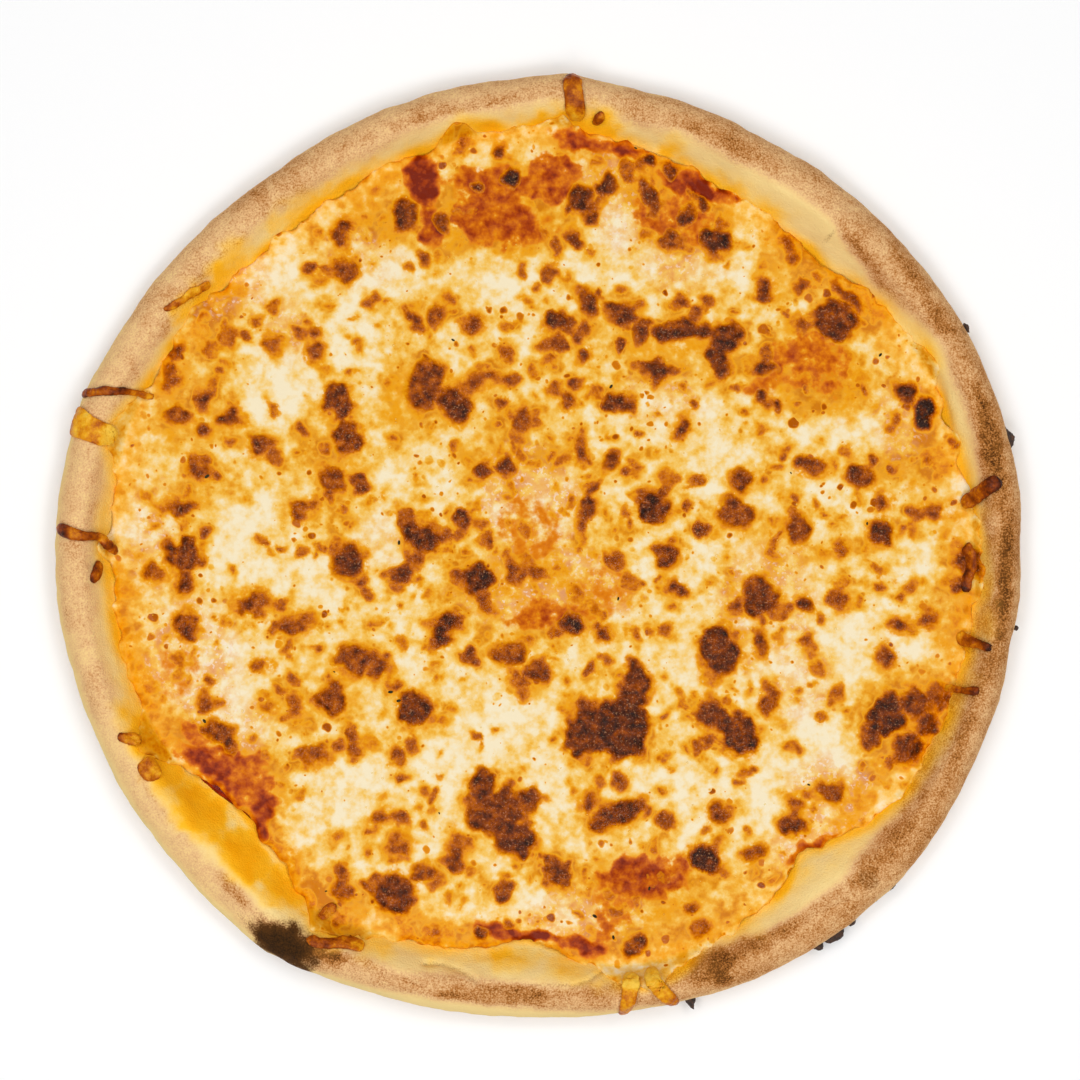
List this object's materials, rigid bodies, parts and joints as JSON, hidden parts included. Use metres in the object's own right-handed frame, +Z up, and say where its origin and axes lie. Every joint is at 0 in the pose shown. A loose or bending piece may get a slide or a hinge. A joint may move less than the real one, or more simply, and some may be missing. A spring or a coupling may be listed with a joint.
{
  "type": "margherita pizza",
  "caption": "Whole baked margherita pizza, uncut: a round of dough with a puffed rim, tomato sauce, blistered melted cheese, and browned shreds of cheese on the rim.",
  "frame": {"origin": "middle of the flat underside of the dough, on the surface that the pizza rests on", "axes": "+Z up out of the cheese; +X along the pizza's slightly longer width; +Y towards the upper edge as it is seen from above"},
  "size_m": [0.3131, 0.3065, 0.0199],
  "materials": {
    "dough": "matte",
    "sauce": "gloss",
    "cheese": "satin",
    "browned_cheese": "satin"
  },
  "bodies": {
    "root": {"crust": "dough", "sauce": "sauce", "cheese": "cheese", "cheese_shred_top": "browned_cheese", "cheese_shred_top_bead": "browned_cheese", "cheese_shred_upper_left": "browned_cheese", "cheese_shred_long_left": "browned_cheese", "cheese_flap_left": "browned_cheese", "cheese_shred_left": "browned_cheese", "cheese_drop_left": "browned_cheese", "cheese_horn_lower_left_a": "browned_cheese", "cheese_horn_lower_left_b": "browned_cheese", "cheese_hook_bottom_left": "browned_cheese", "cheese_bead_bottom_left": "browned_cheese", "cheese_shred_bottom_a": "browned_cheese", "cheese_shred_bottom_b": "browned_cheese", "cheese_shred_right_low_thin": "browned_cheese", "cheese_shred_right_low": "browned_cheese", "cheese_arc_right": "browned_cheese", "cheese_shred_right": "browned_cheese"}
  },
  "joints": []
}
